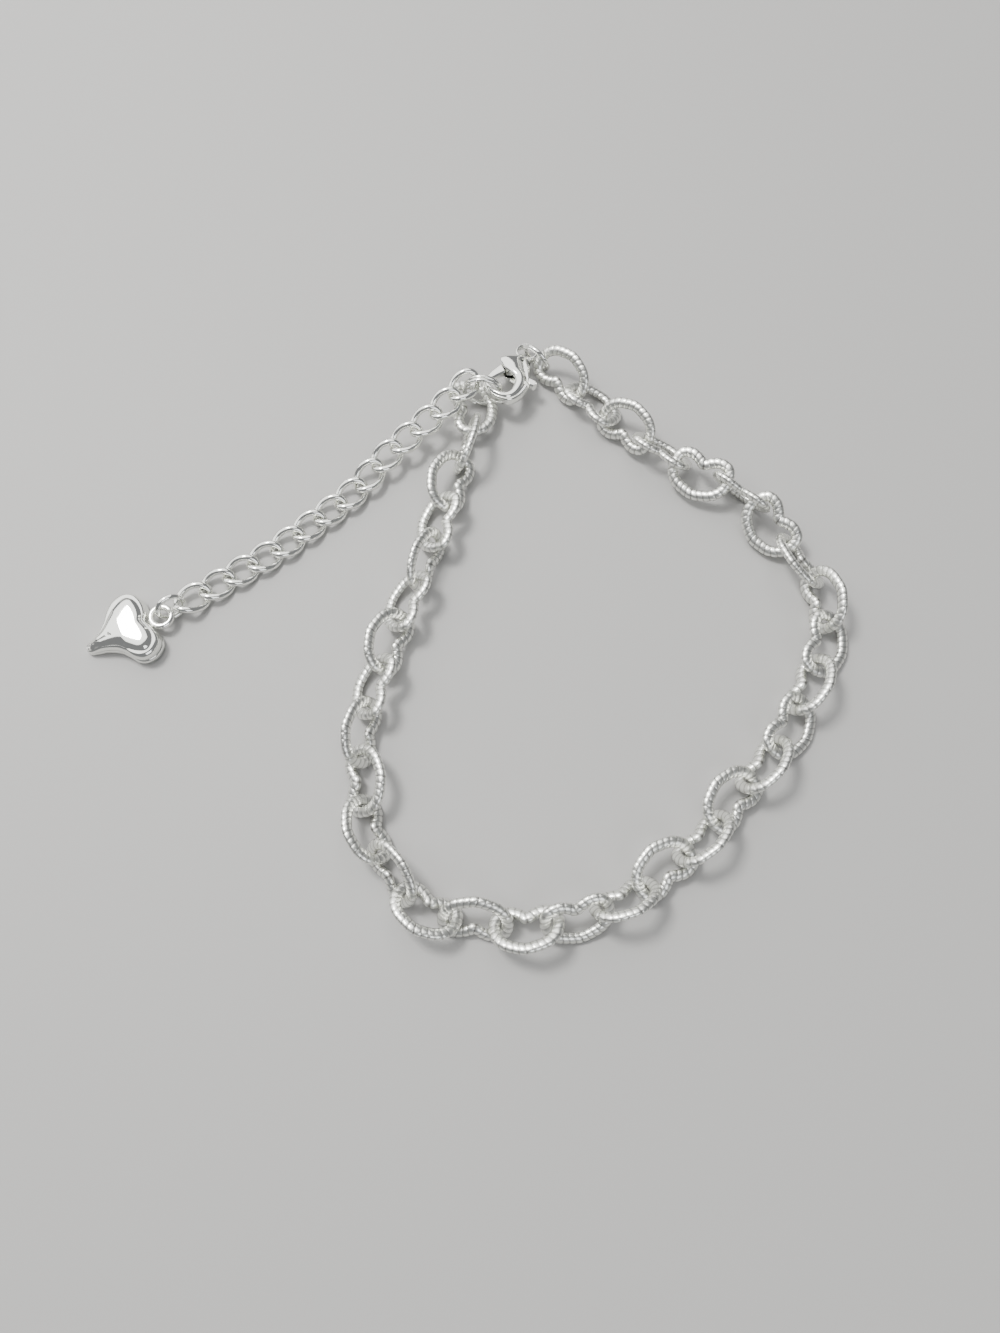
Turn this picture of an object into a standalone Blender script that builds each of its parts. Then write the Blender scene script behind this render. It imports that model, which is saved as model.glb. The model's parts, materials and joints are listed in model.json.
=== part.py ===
"""A heart link bracelet: a looped chain of heart links, a lobster clasp, and an extender with a charm.

The bracelet lies on a surface at z = 0, laid out loosely. Sizes are in metres and +Z is up. The
clasp is at the far side, +Y, and the extender runs from it to the charm at the left, -X. The
chains are placed by rule: each link spans two seats, the points where neighbours meet, and the
seats are spaced one link pitch apart along a smooth route.
"""

import math
from collections import namedtuple

import bmesh
import bpy
import numpy as np
from mathutils import Matrix, Vector

MM = 0.001

# Clearances
CHAIN_GAP = 0.30 * MM
CLASP_FIT = 0.20 * MM

# Heart links
HEART_WIDTH = 7.6 * MM
HEART_HEIGHT = 5.4 * MM
HEART_WIRE = 1.05 * MM
WIRE_SIDES = 6

# Extender links
OVAL_LENGTH = 4.7 * MM
OVAL_HEIGHT = 3.45 * MM
OVAL_WIRE = 0.66 * MM
OVAL_COUNT = 14
OVAL_SIDES = 5
OVAL_SEGMENTS = 12
OVAL_TWIST = math.radians(37.3)
OVAL_ROLL = math.radians(-8)
OVAL_DROP = 0.5 * MM

# Clasp: a claw with an eye at its root. Its own frame has the eye at the origin, +X along the
# claw, +Y towards the lever and +Z up.
CLASP_REACH = 8.7 * MM
CLASP_SPAN = 5.3 * MM
CLASP_THICKNESS = 2.2 * MM
CLASP_ROUNDING = 0.32 * MM
EYE_RADIUS = 1.45 * MM
EYE_HOLE_RADIUS = 1.0 * MM
EYE_THICKNESS = 0.8 * MM
EYE_HOLE_SIDES = 16
CLASP_PLACE = Vector((3.25 * MM, 73.85 * MM, 0.0))
CLASP_HEADING = math.radians(-106)
CLASP_TILT = math.radians(12.6)
CLASP_LIFT = 0.25 * MM
LEVER_THICKNESS = 0.9 * MM
# The lever's pin, as shares of the reach along the claw and of the span across it.
PIVOT_ALONG = 0.33908
PIVOT_ACROSS = 0.25472
PIN_RADIUS = 0.35 * MM
HUB_RADIUS = 0.95 * MM
TAB_LENGTH = 4.3 * MM
TAB_TURN = math.radians(85)

# Rings
JUMP_RING_RADIUS = 1.75 * MM
JUMP_RING_WIRE = 0.60 * MM
JUMP_RING_LEAN = math.radians(98)
JUMP_SEAT_LIFT = 0.50 * MM
SPLIT_RING_RADIUS = 2.2 * MM
SPLIT_RING_WIRE = 0.46 * MM
SPLIT_RING_LEAN = math.radians(84)
HEART_SEAT_TURN = math.radians(-20)
OVAL_SEAT_TURN = math.radians(48)
CHARM_RING_RADIUS = 1.5 * MM
CHARM_RING_WIRE = 0.60 * MM
CHARM_RING_LEAN = math.radians(72)
RING_SEGMENTS = 14

# Charm: a puffed heart with a tail. Its own frame has its eye at the origin and +X along the tail.
CHARM_LENGTH = 8.15 * MM
CHARM_WIDTH = 8.7 * MM
CHARM_THICKNESS = 2.7 * MM
CHARM_START = 0.72 * MM
CHARM_EYE_RADIUS = 1.5 * MM
CHARM_EYE_WIRE = 0.72 * MM
CHARM_EYE_HEIGHT = 1.35 * MM
CHARM_HEADING = math.radians(-155.0)

SILVER = (0.80, 0.80, 0.79, 1.0)

# Half of a heart link's centre line, from the notch over one lobe to the tip. Shares of the
# centre line's half width along the chain, and of its height across it, from the line of pull.
HeartPoint = namedtuple("HeartPoint", "along across")
HEART_OUTLINE = (
    HeartPoint(0.00, 0.17),
    HeartPoint(0.22, 0.27),
    HeartPoint(0.54, 0.35),
    HeartPoint(0.88, 0.27),
    HeartPoint(1.00, 0.00),
    HeartPoint(0.93, -0.28),
    HeartPoint(0.68, -0.49),
    HeartPoint(0.33, -0.60),
    HeartPoint(0.00, -0.65),
)

# Which way each heart's notch points, in degrees about the chain: 0 is out of the loop, 90 up,
# 180 into the loop and 270 down. From the jump ring round to the split ring.
HEART_ROLLS = (
    226, 150, 228, 134, 30, 112, 32, 312, 236, 156, 232,
    154, 234, 336, 236, 334, 232, 136, 212, 312, 212, 302,
    222, 322, 236, 140, 220, 142, 246, 146, 212, 288, 7,
)

# Route of the heart chain in plan, in mm, clockwise from the jump ring to the split ring.
HEART_ROUTE = (
    (5.4, 71.9), (13.8, 63.6), (21.6, 57.8), (27.9, 54.3), (32.4, 48.4), (35.6, 43.0),
    (35.9, 37.9), (33.9, 33.4), (30.2, 26.6), (25.4, 20.4), (20.2, 14.8), (14.2, 10.2),
    (6.9, 7.4), (-0.8, 6.9), (-7.4, 8.3), (-11.1, 12.0), (-13.6, 17.5), (-14.5, 24.3),
    (-12.7, 33.0), (-9.7, 41.8), (-7.0, 48.6), (-5.3, 56.0), (-2.9, 63.6), (-3.9, 68.9),
)

# Route of the extender in plan, in mm, from the split ring to the charm.
OVAL_ROUTE = (
    (-4.8, 68.3), (-6.2, 65.6), (-8.8, 63.3), (-11.6, 61.0), (-14.6, 58.0), (-16.9, 55.2),
    (-21.0, 51.7), (-25.4, 47.9), (-30.6, 44.5), (-35.8, 40.9), (-40.0, 38.0),
)

# Sections of the clasp's body from the claw's tip round the hook to the eye: a point on the
# hook's inner side and shoulder, and one on the outer side. Shares of the clasp's reach along
# it, of its span across it and of its thickness.
ClaspSection = namedtuple("ClaspSection", "inner_along inner_across outer_along outer_across thick")
CLAW_SECTIONS = (
    ClaspSection(0.747, 0.585, 0.776, 0.683, 0.44),
    ClaspSection(0.790, 0.500, 0.868, 0.617, 0.58),
    ClaspSection(0.841, 0.406, 0.943, 0.440, 0.63),
    ClaspSection(0.879, 0.264, 1.000, 0.202, 0.66),
    ClaspSection(0.870, 0.123, 0.984, -0.047, 0.70),
    ClaspSection(0.800, 0.025, 0.864, -0.217, 0.74),
    ClaspSection(0.657, 0.009, 0.693, -0.311, 0.83),
    ClaspSection(0.566, 0.066, 0.561, -0.306, 0.92),
    ClaspSection(0.509, 0.198, 0.458, -0.283, 1.00),
    ClaspSection(0.446, 0.349, 0.378, -0.255, 1.00),
    ClaspSection(0.364, 0.462, 0.298, -0.217, 1.00),
    ClaspSection(0.304, 0.538, 0.229, -0.179, 0.95),
    ClaspSection(0.244, 0.494, 0.183, -0.160, 0.86),
    ClaspSection(0.172, 0.340, 0.149, -0.142, 0.68),
    ClaspSection(0.117, 0.190, 0.109, -0.104, 0.45),
    ClaspSection(0.080, 0.085, 0.080, -0.065, 0.36),
)

# Sections of the lever's two arms from the pin outwards. Shares of the arm's length and of the
# hub's radius.
ArmSection = namedtuple("ArmSection", "along left right")
GATE_SECTIONS = (
    ArmSection(0.00, 0.80, -0.80),
    ArmSection(0.30, 0.94, -0.45),
    ArmSection(0.66, 0.92, -0.15),
    ArmSection(0.90, 0.80, -0.02),
    ArmSection(1.00, 0.62, 0.12),
)
TAB_SECTIONS = (
    ArmSection(0.00, 0.60, -0.60),
    ArmSection(0.50, 0.45, -0.40),
    ArmSection(0.72, 0.38, -0.36),
    ArmSection(0.90, 0.58, -0.58),
    ArmSection(1.00, 0.38, -0.38),
)

# Sections of the charm from its notch to the end of its tail. Shares of its length, of its half
# width and of its thickness.
CharmSection = namedtuple("CharmSection", "along half_width thickness")
CHARM_SECTIONS = (
    CharmSection(0.00, 0.52, 0.55),
    CharmSection(0.05, 0.76, 0.78),
    CharmSection(0.13, 0.91, 0.94),
    CharmSection(0.24, 1.00, 1.00),
    CharmSection(0.35, 0.98, 1.00),
    CharmSection(0.45, 0.88, 0.97),
    CharmSection(0.55, 0.68, 0.88),
    CharmSection(0.63, 0.48, 0.76),
    CharmSection(0.74, 0.30, 0.62),
    CharmSection(0.87, 0.20, 0.52),
    CharmSection(0.96, 0.16, 0.46),
    CharmSection(1.00, 0.09, 0.36),
)

# Half of the charm's cross-section from the underside's edge to the crown. Shares of the
# section's half width and thickness.
CharmProfile = namedtuple("CharmProfile", "across up")
CHARM_PROFILE = (
    CharmProfile(0.74, 0.00),
    CharmProfile(1.00, 0.32),
    CharmProfile(0.90, 0.66),
    CharmProfile(0.58, 0.93),
    CharmProfile(0.00, 1.00),
)


def clear_scene():
    for item in list(bpy.data.objects):
        bpy.data.objects.remove(item)


def material(name, colour, roughness, metallic):
    made = bpy.data.materials.new(name)
    made.use_nodes = True
    shader = made.node_tree.nodes["Principled BSDF"]
    shader.inputs["Base Color"].default_value = colour
    shader.inputs["Roughness"].default_value = roughness
    shader.inputs["Metallic"].default_value = metallic
    made.diffuse_color = colour
    return made


def add_object(name, mesh, place, finish, parent):
    item = bpy.data.objects.new(name, mesh)
    bpy.context.scene.collection.objects.link(item)
    item.parent = parent
    item.matrix_local = place
    if not mesh.materials:
        mesh.materials.append(finish)
    return item


def finished_mesh(name, work, smooth_angle=math.radians(40)):
    bmesh.ops.recalc_face_normals(work, faces=work.faces)
    mesh = bpy.data.meshes.new(name)
    work.to_mesh(mesh)
    work.free()
    mesh.shade_smooth()
    mesh.set_sharp_from_angle(angle=smooth_angle)
    return mesh


def round_section(radius, sides):
    turns = [2 * math.pi * step / sides for step in range(sides)]
    return [(radius * math.cos(turn), radius * math.sin(turn)) for turn in turns]


def double_section(wire, sides):
    """Outline of two wires lying side by side and soldered: (radial, axial) offsets."""
    lower = [(x, y - wire / 2) for x, y in round_section(wire / 2, sides) if y <= 0]
    upper = [(x, y + wire / 2) for x, y in round_section(wire / 2, sides) if y >= 0]
    waist = wire * 0.34
    return [(waist, 0.0)] + sorted_turn(upper) + [(-waist, 0.0)] + sorted_turn(lower)


def sorted_turn(points):
    return sorted(points, key=lambda point: math.atan2(point[1], point[0]) % (2 * math.pi))


def closed_tube(name, path, section, normals):
    """A tube of the given section round a closed path. Each section's first offset points away
    from the path's middle and its second along the path's normal there."""
    work = bmesh.new()
    count = len(path)
    rings = []
    for index, point in enumerate(path):
        tangent = (path[(index + 1) % count] - path[index - 1]).normalized()
        outward = tangent.cross(normals[index]).normalized()
        upward = outward.cross(tangent).normalized()
        before = (path[index] - path[index - 1]).normalized()
        widen = 1 / max(0.5, before.dot(tangent))
        ring = [work.verts.new(point + outward * (x * widen) + upward * y) for x, y in section]
        rings.append(ring)
    for index, ring in enumerate(rings):
        following = rings[(index + 1) % count]
        for side in range(len(section)):
            after = (side + 1) % len(section)
            work.faces.new((ring[side], ring[after], following[after], following[side]))
    return finished_mesh(name, work)


def heart_reach():
    """Centre line's half width and height."""
    return (HEART_WIDTH - HEART_WIRE) / 2, HEART_HEIGHT - HEART_WIRE


def heart_path():
    half_width, height = heart_reach()
    right = [Vector((row.along * half_width, row.across * height, 0)) for row in HEART_OUTLINE]
    left = [Vector((-point.x, point.y, 0)) for point in reversed(right[1:-1])]
    return right + left


def heart_mesh():
    path = heart_path()
    section = round_section(HEART_WIRE / 2, WIRE_SIDES)
    return closed_tube("heart_link", path, section, [Vector((0, 0, 1))] * len(path))


def oval_path():
    """Centre line of an extender link and its turned normals: an oval twisted end to end."""
    half_length = (OVAL_LENGTH - OVAL_WIRE) / 2
    half_height = (OVAL_HEIGHT - OVAL_WIRE) / 2
    path = []
    normals = []
    for step in range(OVAL_SEGMENTS):
        turn = 2 * math.pi * step / OVAL_SEGMENTS
        along = half_length * math.cos(turn)
        twist = Matrix.Rotation(OVAL_TWIST * math.cos(turn), 3, "X")
        path.append(Vector((along, 0, 0)) + twist @ Vector((0, half_height * math.sin(turn), 0)))
        normals.append(twist @ Vector((0, 0, 1)))
    return path, normals


def oval_mesh():
    path, normals = oval_path()
    return closed_tube("extender_link", path, round_section(OVAL_WIRE / 2, OVAL_SIDES), normals)


def ring_mesh(name, radius, section, segments):
    turns = [2 * math.pi * step / segments for step in range(segments)]
    path = [Vector((radius * math.cos(turn), radius * math.sin(turn), 0)) for turn in turns]
    return closed_tube(name, path, section, [Vector((0, 0, 1))] * segments)


def ring_through(first, second, radius, lean):
    """Frame of a ring of that radius that passes through two points. Its own X axis points from
    the second point to the first, and its plane leans up by that angle about them."""
    chord = first - second
    axis = chord.normalized()
    level = Vector((0, 0, 1)).cross(axis).normalized()
    steep = axis.cross(level)
    rise = level * math.cos(lean) + steep * math.sin(lean)
    offset = math.sqrt(max(0.0, radius ** 2 - (chord.length / 2) ** 2))
    centre = (first + second) / 2 + rise * offset
    return frame_of(centre, axis, rise)


def frame_of(centre, axis, rise):
    across = axis.cross(rise)
    place = Matrix((axis, rise, across)).transposed().to_4x4()
    place.translation = centre
    return place


def smooth_curve(points, steps=40):
    """A dense centripetal curve through the points, as an array of rows."""
    knots = [2 * points[0] - points[1]] + list(points) + [2 * points[-1] - points[-2]]
    rows = []
    for index in range(1, len(knots) - 2):
        p0, p1, p2, p3 = knots[index - 1:index + 3]
        t1 = math.sqrt(np.linalg.norm(p1 - p0))
        t2 = t1 + math.sqrt(np.linalg.norm(p2 - p1))
        t3 = t2 + math.sqrt(np.linalg.norm(p3 - p2))
        for t in np.linspace(t1, t2, steps, endpoint=False):
            a1 = (t1 - t) / t1 * p0 + t / t1 * p1
            a2 = (t2 - t) / (t2 - t1) * p1 + (t - t1) / (t2 - t1) * p2
            a3 = (t3 - t) / (t3 - t2) * p2 + (t - t2) / (t3 - t2) * p3
            b1 = (t2 - t) / t2 * a1 + t / t2 * a2
            b2 = (t3 - t) / (t3 - t1) * a2 + (t - t1) / (t3 - t1) * a3
            rows.append((t2 - t) / (t2 - t1) * b1 + (t - t1) / (t2 - t1) * b2)
    rows.append(knots[-2])
    return np.array(rows)


def walk(curve, steps):
    """Points a step apart along the curve, from its start, each step a straight distance. Also
    gives the length left over at the end, less than zero where the curve is too short."""
    here = curve[0]
    places = [here]
    index = 1
    for taken, step in enumerate(steps):
        while index < len(curve) and np.linalg.norm(curve[index] - here) < step:
            index += 1
        if index == len(curve):
            return places, np.linalg.norm(curve[-1] - here) - sum(steps[taken:])
        low, high = curve[index - 1], curve[index]
        for _ in range(30):
            middle = (low + high) / 2
            if np.linalg.norm(middle - here) < step:
                low = middle
            else:
                high = middle
        here = high
        places.append(here)
    rest = np.vstack([here[None, :], curve[index:]])
    return places, float(np.sum(np.linalg.norm(np.diff(rest, axis=0), axis=1)))


def fitted_route(route, start, end, steps):
    """Seats in plan along a route that is scaled, and drawn to both ends, until the chain's
    steps just fill it."""
    points = np.array(route) * MM
    shares = np.linspace(0, 1, len(points))[:, None]

    def seats_at(scale):
        scaled = start + scale * (points - points[0])
        return walk(smooth_curve(scaled + shares * (end - scaled[-1])), steps)

    low, high = 0.3, 3.0
    for _ in range(50):
        middle = (low + high) / 2
        if seats_at(middle)[1] < 0:
            low = middle
        else:
            high = middle
    return seats_at(high)[0]


def heart_depth(roll):
    """How far a heart with its notch turned that way reaches below its line of pull."""
    height = heart_reach()[1]
    reach = [row.across * height * math.sin(math.radians(roll)) for row in HEART_OUTLINE]
    return HEART_WIRE / 2 - min(reach)


def seat_heights(depths, first, last):
    """Heights of the seats: each link is carried clear of the surface at both its ends."""
    inner = [max(pair) for pair in zip(depths[:-1], depths[1:])]
    return [first] + inner + [last]


def link_frame(start, end, roll):
    """Frame of a link from seat to seat. Its own X axis runs along the chain, and its Y axis is
    turned by the roll from the left of the way the chain runs."""
    axis = (end - start).normalized()
    left = Vector((0, 0, 1)).cross(axis).normalized()
    up = axis.cross(left)
    across = left * math.cos(roll) + up * math.sin(roll)
    return frame_of((start + end) / 2, axis, across)


def clasp_frame():
    """The clasp lies tilted: its claw is held up by the split ring."""
    lift = Matrix.Translation((0, 0, CLASP_THICKNESS / 2 + CLASP_LIFT))
    turn = Matrix.Rotation(CLASP_HEADING, 4, "Z")
    # The lever's side is +Y in the clasp's frame, so the claw rises by a turn about -Y.
    tilt = Matrix.Rotation(-CLASP_TILT, 4, "Y")
    flip = Matrix.Rotation(math.pi, 4, "X")
    return Matrix.Translation(CLASP_PLACE) @ lift @ turn @ tilt @ flip


def clasp_point(along, across):
    return Vector((along * CLASP_REACH, across * CLASP_SPAN, 0))


def strip(name, sections, rounding):
    """A bar lofted through flat sections with rounded corners. Each section is given by a point
    at either side and its thickness."""
    work = bmesh.new()
    rings = []
    for near, far, thickness in sections:
        across = far - near
        corner = min(rounding, across.length * 0.35, thickness * 0.35)
        inset = across.normalized() * corner
        high = Vector((0, 0, thickness / 2))
        low_rim = Vector((0, 0, thickness / 2 - corner))
        outline = (
            near - low_rim, near + low_rim, near + inset + high, far - inset + high,
            far + low_rim, far - low_rim, far - inset - high, near + inset - high,
        )
        rings.append([work.verts.new(point) for point in outline])
    for ring, following in zip(rings[:-1], rings[1:]):
        for side in range(len(ring)):
            after = (side + 1) % len(ring)
            work.faces.new((ring[side], ring[after], following[after], following[side]))
    work.faces.new(rings[0])
    work.faces.new(rings[-1])
    # The loft's faces are twisted. As triangles, the slot and the bores cut them cleanly.
    bmesh.ops.triangulate(work, faces=work.faces)
    return finished_mesh(name, work)


def cylinder(name, radius, height, centre, sides):
    work = bmesh.new()
    place = Matrix.Translation(centre)
    bmesh.ops.create_cone(work, cap_ends=True, segments=sides, radius1=radius, radius2=radius,
                          depth=height, matrix=place)
    return finished_mesh(name, work)


def box(name, low, high):
    work = bmesh.new()
    size = Matrix.Diagonal(high - low).to_4x4()
    bmesh.ops.create_cube(work, size=1.0, matrix=Matrix.Translation((low + high) / 2) @ size)
    return finished_mesh(name, work)


def helper(name, mesh, owner):
    """A shape that only cuts or joins: it is left out of the model itself."""
    item = bpy.data.objects.new(name, mesh)
    bpy.context.scene.collection.objects.link(item)
    item.parent = owner
    item.hide_render = True
    item.display_type = "WIRE"
    return item


def combine(owner, operation, tool):
    step = owner.modifiers.new(tool.name, "BOOLEAN")
    step.operation = operation
    step.solver = "EXACT"
    step.object = tool


def add_clasp_body(place, finish, parent):
    sections = []
    for row in CLAW_SECTIONS:
        inner = clasp_point(row.inner_along, row.inner_across)
        outer = clasp_point(row.outer_along, row.outer_across)
        sections.append((inner, outer, row.thick * CLASP_THICKNESS))
    mesh = strip("clasp_body", sections, CLASP_ROUNDING)
    body = add_object("clasp_body", mesh, place, finish, parent)
    origin = Vector((0, 0, 0))
    eye = cylinder("eye", EYE_RADIUS, EYE_THICKNESS, origin, 16)
    combine(body, "UNION", helper("eye_wall", eye, body))
    hole = cylinder("eye_hole", EYE_HOLE_RADIUS, CLASP_THICKNESS * 2, origin, EYE_HOLE_SIDES)
    combine(body, "DIFFERENCE", helper("eye_bore", hole, body))
    slot = LEVER_THICKNESS / 2 + CLASP_FIT
    pivot = clasp_point(PIVOT_ALONG, PIVOT_ACROSS)
    slot_start = pivot.x - HUB_RADIUS - CLASP_FIT
    slot_end = pivot.x + TAB_LENGTH * 0.65
    low = Vector((slot_start, -CLASP_SPAN, -slot))
    high = Vector((slot_end, CLASP_SPAN, slot))
    combine(body, "DIFFERENCE", helper("lever_slot", box("slot", low, high), body))
    pin = cylinder("pin", PIN_RADIUS, slot * 2 + CLASP_FIT, pivot, 12)
    combine(body, "UNION", helper("lever_pin", pin, body))
    return body


def arm_mesh(name, rows, length, angle):
    """One arm of the lever, from the pin's axis outwards at that angle."""
    turn = Matrix.Rotation(angle, 3, "Z")
    sections = []
    for row in rows:
        left = turn @ Vector((row.along * length, row.left * HUB_RADIUS, 0))
        right = turn @ Vector((row.along * length, row.right * HUB_RADIUS, 0))
        sections.append((left, right, LEVER_THICKNESS))
    return strip(name, sections, LEVER_THICKNESS * 0.22)


def add_clasp_lever(place, finish, parent):
    """The lever's own origin is on its pin's axis, so that it turns in place. Its gate reaches
    to the claw's tip and its tab is the thumb's."""
    pivot = clasp_point(PIVOT_ALONG, PIVOT_ACROSS)
    tip = CLAW_SECTIONS[0]
    to_tip = clasp_point(tip.inner_along, tip.inner_across) - pivot
    gate_angle = math.atan2(to_tip.y, to_tip.x)
    gate = arm_mesh("clasp_lever", GATE_SECTIONS, to_tip.length - 2 * CLASP_FIT, gate_angle)
    lever = add_object("clasp_lever", gate, place @ Matrix.Translation(pivot), finish, parent)
    tab = arm_mesh("tab", TAB_SECTIONS, TAB_LENGTH, gate_angle - TAB_TURN)
    combine(lever, "UNION", helper("thumb_tab", tab, lever))
    origin = Vector((0, 0, 0))
    hub = cylinder("hub", HUB_RADIUS, LEVER_THICKNESS, origin, 16)
    combine(lever, "UNION", helper("lever_hub", hub, lever))
    hole = cylinder("hole", PIN_RADIUS + CLASP_FIT, LEVER_THICKNESS * 2, origin, 12)
    combine(lever, "DIFFERENCE", helper("pin_hole", hole, lever))
    return lever


def split_ring_frame(place):
    """The split ring passes through the hook, close to its bottom, and round the claw's tip."""
    crossing = place @ clasp_point(0.800, 0.243)
    beyond = place @ clasp_point(0.841, 0.564)
    axis = beyond - crossing
    axis.z = 0
    axis.normalize()
    centre = crossing + axis * SPLIT_RING_RADIUS
    steep = math.sin(SPLIT_RING_LEAN)
    half_height = SPLIT_RING_WIRE * (1 + abs(math.cos(SPLIT_RING_LEAN))) / 2
    centre.z = SPLIT_RING_RADIUS * steep + half_height
    level = Vector((0, 0, 1)).cross(axis).normalized()
    rise = Vector((0, 0, 1)) * steep - level * math.cos(SPLIT_RING_LEAN)
    return frame_of(centre, axis, rise)


def ring_point(frame, radius, turn):
    return frame @ Vector((radius * math.cos(turn), radius * math.sin(turn), 0))


def chain_seats(plan, heights):
    return [Vector((p[0], p[1], z)) for p, z in zip(plan, heights)]


def flat_steps(pitch, heights):
    return [math.sqrt(max(pitch ** 2 - (b - a) ** 2, (pitch / 2) ** 2))
            for a, b in zip(heights[:-1], heights[1:])]


def add_heart_chain(split_frame, finish, parent):
    """Places the hearts from the jump ring's seat round to the split ring's seat."""
    pitch = HEART_WIDTH - 2 * HEART_WIRE - CHAIN_GAP
    depths = [heart_depth(roll) for roll in HEART_ROLLS]
    held = ring_point(split_frame, SPLIT_RING_RADIUS, HEART_SEAT_TURN)
    heights = seat_heights(depths, depths[0] + JUMP_SEAT_LIFT, held.z)
    start = np.array(HEART_ROUTE[0]) * MM
    approach = np.array(HEART_ROUTE[-1]) - np.array(HEART_ROUTE[-2])
    approach = approach / np.linalg.norm(approach)
    grip = SPLIT_RING_WIRE + CHAIN_GAP / 2
    end = np.array(held[:2]) + approach * grip
    plan = fitted_route(HEART_ROUTE, start, end, flat_steps(pitch, heights))
    seats = chain_seats(plan, heights)
    mesh = heart_mesh()
    for index, roll in enumerate(HEART_ROLLS):
        place = link_frame(seats[index], seats[index + 1], math.radians(roll))
        add_object(f"heart_link_{index + 1:02d}", mesh, place, finish, parent)
    return seats


def add_extender(split_frame, finish, parent):
    """Places the extender's links from the split ring outwards, easing down to the surface."""
    pitch = OVAL_LENGTH - 2 * OVAL_WIRE - CHAIN_GAP
    depth = OVAL_WIRE / 2 + (OVAL_HEIGHT - OVAL_WIRE) / 2 * math.sin(OVAL_TWIST) * 0.64
    held = ring_point(split_frame, SPLIT_RING_RADIUS, OVAL_SEAT_TURN)
    heights = [max(depth, held.z - index * OVAL_DROP) for index in range(OVAL_COUNT + 1)]
    heights[-1] = CHARM_EYE_HEIGHT
    route = np.array(OVAL_ROUTE) * MM
    leave = (route[1] - route[0]) / np.linalg.norm(route[1] - route[0])
    start = np.array(held[:2]) - leave * (SPLIT_RING_WIRE + CHAIN_GAP / 2)
    route[0] = start
    plan = walk(smooth_curve(list(route)), flat_steps(pitch, heights))[0]
    seats = chain_seats(plan, heights)
    mesh = oval_mesh()
    for index in range(OVAL_COUNT):
        place = link_frame(seats[index], seats[index + 1], OVAL_ROLL)
        add_object(f"extender_link_{index + 1:02d}", mesh, place, finish, parent)
    return seats


def charm_mesh():
    """The puffed heart, lofted from its notch to its tail, with a flat underside."""
    right = [(row.across, row.up) for row in CHARM_PROFILE]
    left = [(-across, up) for across, up in reversed(right[:-1])]
    work = bmesh.new()
    rings = []
    for row in CHARM_SECTIONS:
        along = CHARM_START + row.along * CHARM_LENGTH
        half = row.half_width * CHARM_WIDTH / 2
        thick = row.thickness * CHARM_THICKNESS
        ring = [work.verts.new((along, x * half, z * thick)) for x, z in right + left]
        rings.append(ring)
    for ring, following in zip(rings[:-1], rings[1:]):
        for side in range(len(ring)):
            after = (side + 1) % len(ring)
            work.faces.new((ring[side], ring[after], following[after], following[side]))
    work.faces.new(rings[0])
    work.faces.new(rings[-1])
    bmesh.ops.triangulate(work, faces=[face for face in work.faces if len(face.verts) > 4])
    return finished_mesh("heart_charm", work)


def add_charm(eye_place, finish, parent):
    turn = Matrix.Rotation(CHARM_HEADING, 4, "Z")
    place = Matrix.Translation((eye_place.x, eye_place.y, 0)) @ turn
    charm = add_object("heart_charm", charm_mesh(), place, finish, parent)
    ring = ring_mesh("charm_eye", CHARM_EYE_RADIUS - CHARM_EYE_WIRE / 2,
                     round_section(CHARM_EYE_WIRE / 2, WIRE_SIDES), RING_SEGMENTS)
    eye = helper("charm_eye", ring, charm)
    eye.location = (0, 0, CHARM_EYE_HEIGHT)
    combine(charm, "UNION", eye)
    return charm


def centre_over_origin(parent):
    """Moves the whole model so that the origin is its bounding box's bottom centre."""
    bpy.context.view_layer.update()
    shapes = bpy.context.evaluated_depsgraph_get()
    corners = []
    for item in parent.children:
        shape = item.evaluated_get(shapes)
        mesh = shape.to_mesh()
        corners += [item.matrix_world @ vertex.co for vertex in mesh.vertices]
        shape.to_mesh_clear()
    low = [min(corner[axis] for corner in corners) for axis in range(3)]
    high = [max(corner[axis] for corner in corners) for axis in range(3)]
    parent.location = (-(low[0] + high[0]) / 2, -(low[1] + high[1]) / 2, -low[2])
    bpy.context.view_layer.update()


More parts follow.
